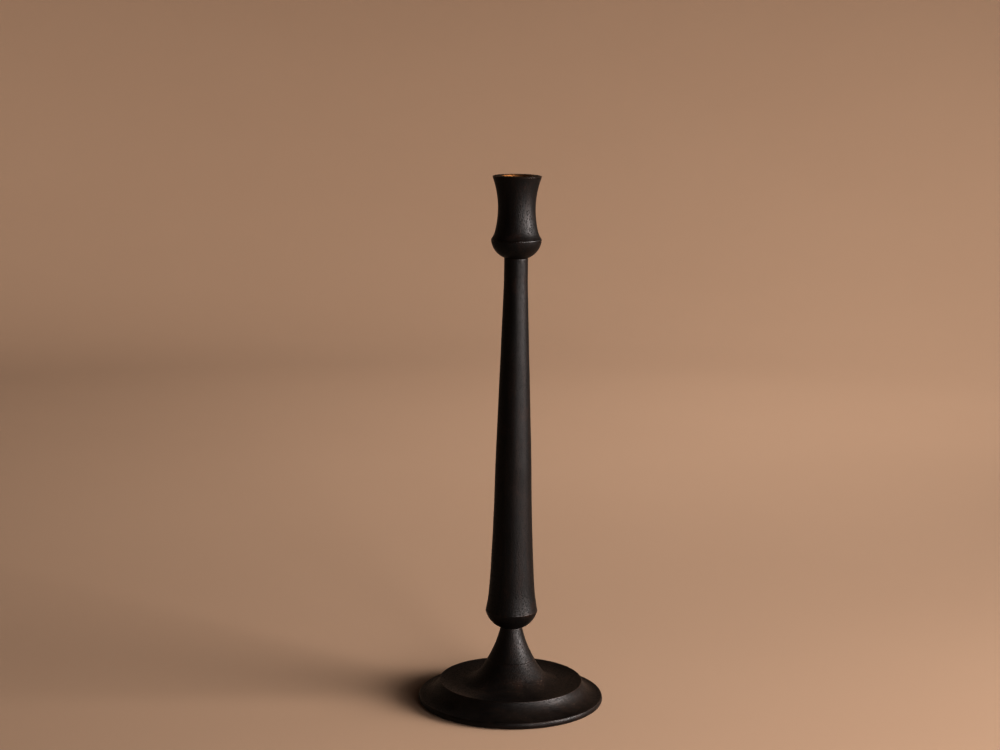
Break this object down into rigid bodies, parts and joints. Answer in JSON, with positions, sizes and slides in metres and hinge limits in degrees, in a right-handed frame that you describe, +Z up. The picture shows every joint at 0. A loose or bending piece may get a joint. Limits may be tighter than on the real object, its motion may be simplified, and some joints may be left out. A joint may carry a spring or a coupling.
{
  "type": "taper candlestick",
  "caption": "Tall slim turned candlestick in black-stained wood, with a waisted cup and lift-out brass liner for a taper candle, and a round dished base.",
  "frame": {"origin": "centre of the underside, on the surface that the candlestick stands on", "axes": "+Z up along the candlestick's axis to the candle socket; the turned body is the same all round, so X and Y are free"},
  "size_m": [0.149, 0.149, 0.4254],
  "materials": {
    "ebonised_wood": "satin",
    "liner_brass": "satin",
    "insert_brass": "satin",
    "zinc_steel": "satin",
    "felt": "matte"
  },
  "bodies": {
    "candlestick": {"base_plate": "ebonised_wood", "pedestal": "ebonised_wood", "stem": "ebonised_wood", "candle_cup": "ebonised_wood", "felt_pad": "felt", "tie_rod": "zinc_steel", "stem_insert": "insert_brass", "base_washer": "zinc_steel", "base_nut": "zinc_steel", "cup_dowel_screw": "zinc_steel"},
    "liner": {"candle_liner": "liner_brass"}
  },
  "joints": [
    {"name": "liner_lift", "type": "slide", "parent": "candlestick", "child": "liner", "axis": [0, 0, 1], "range_m": [0, 0.04]}
  ]
}
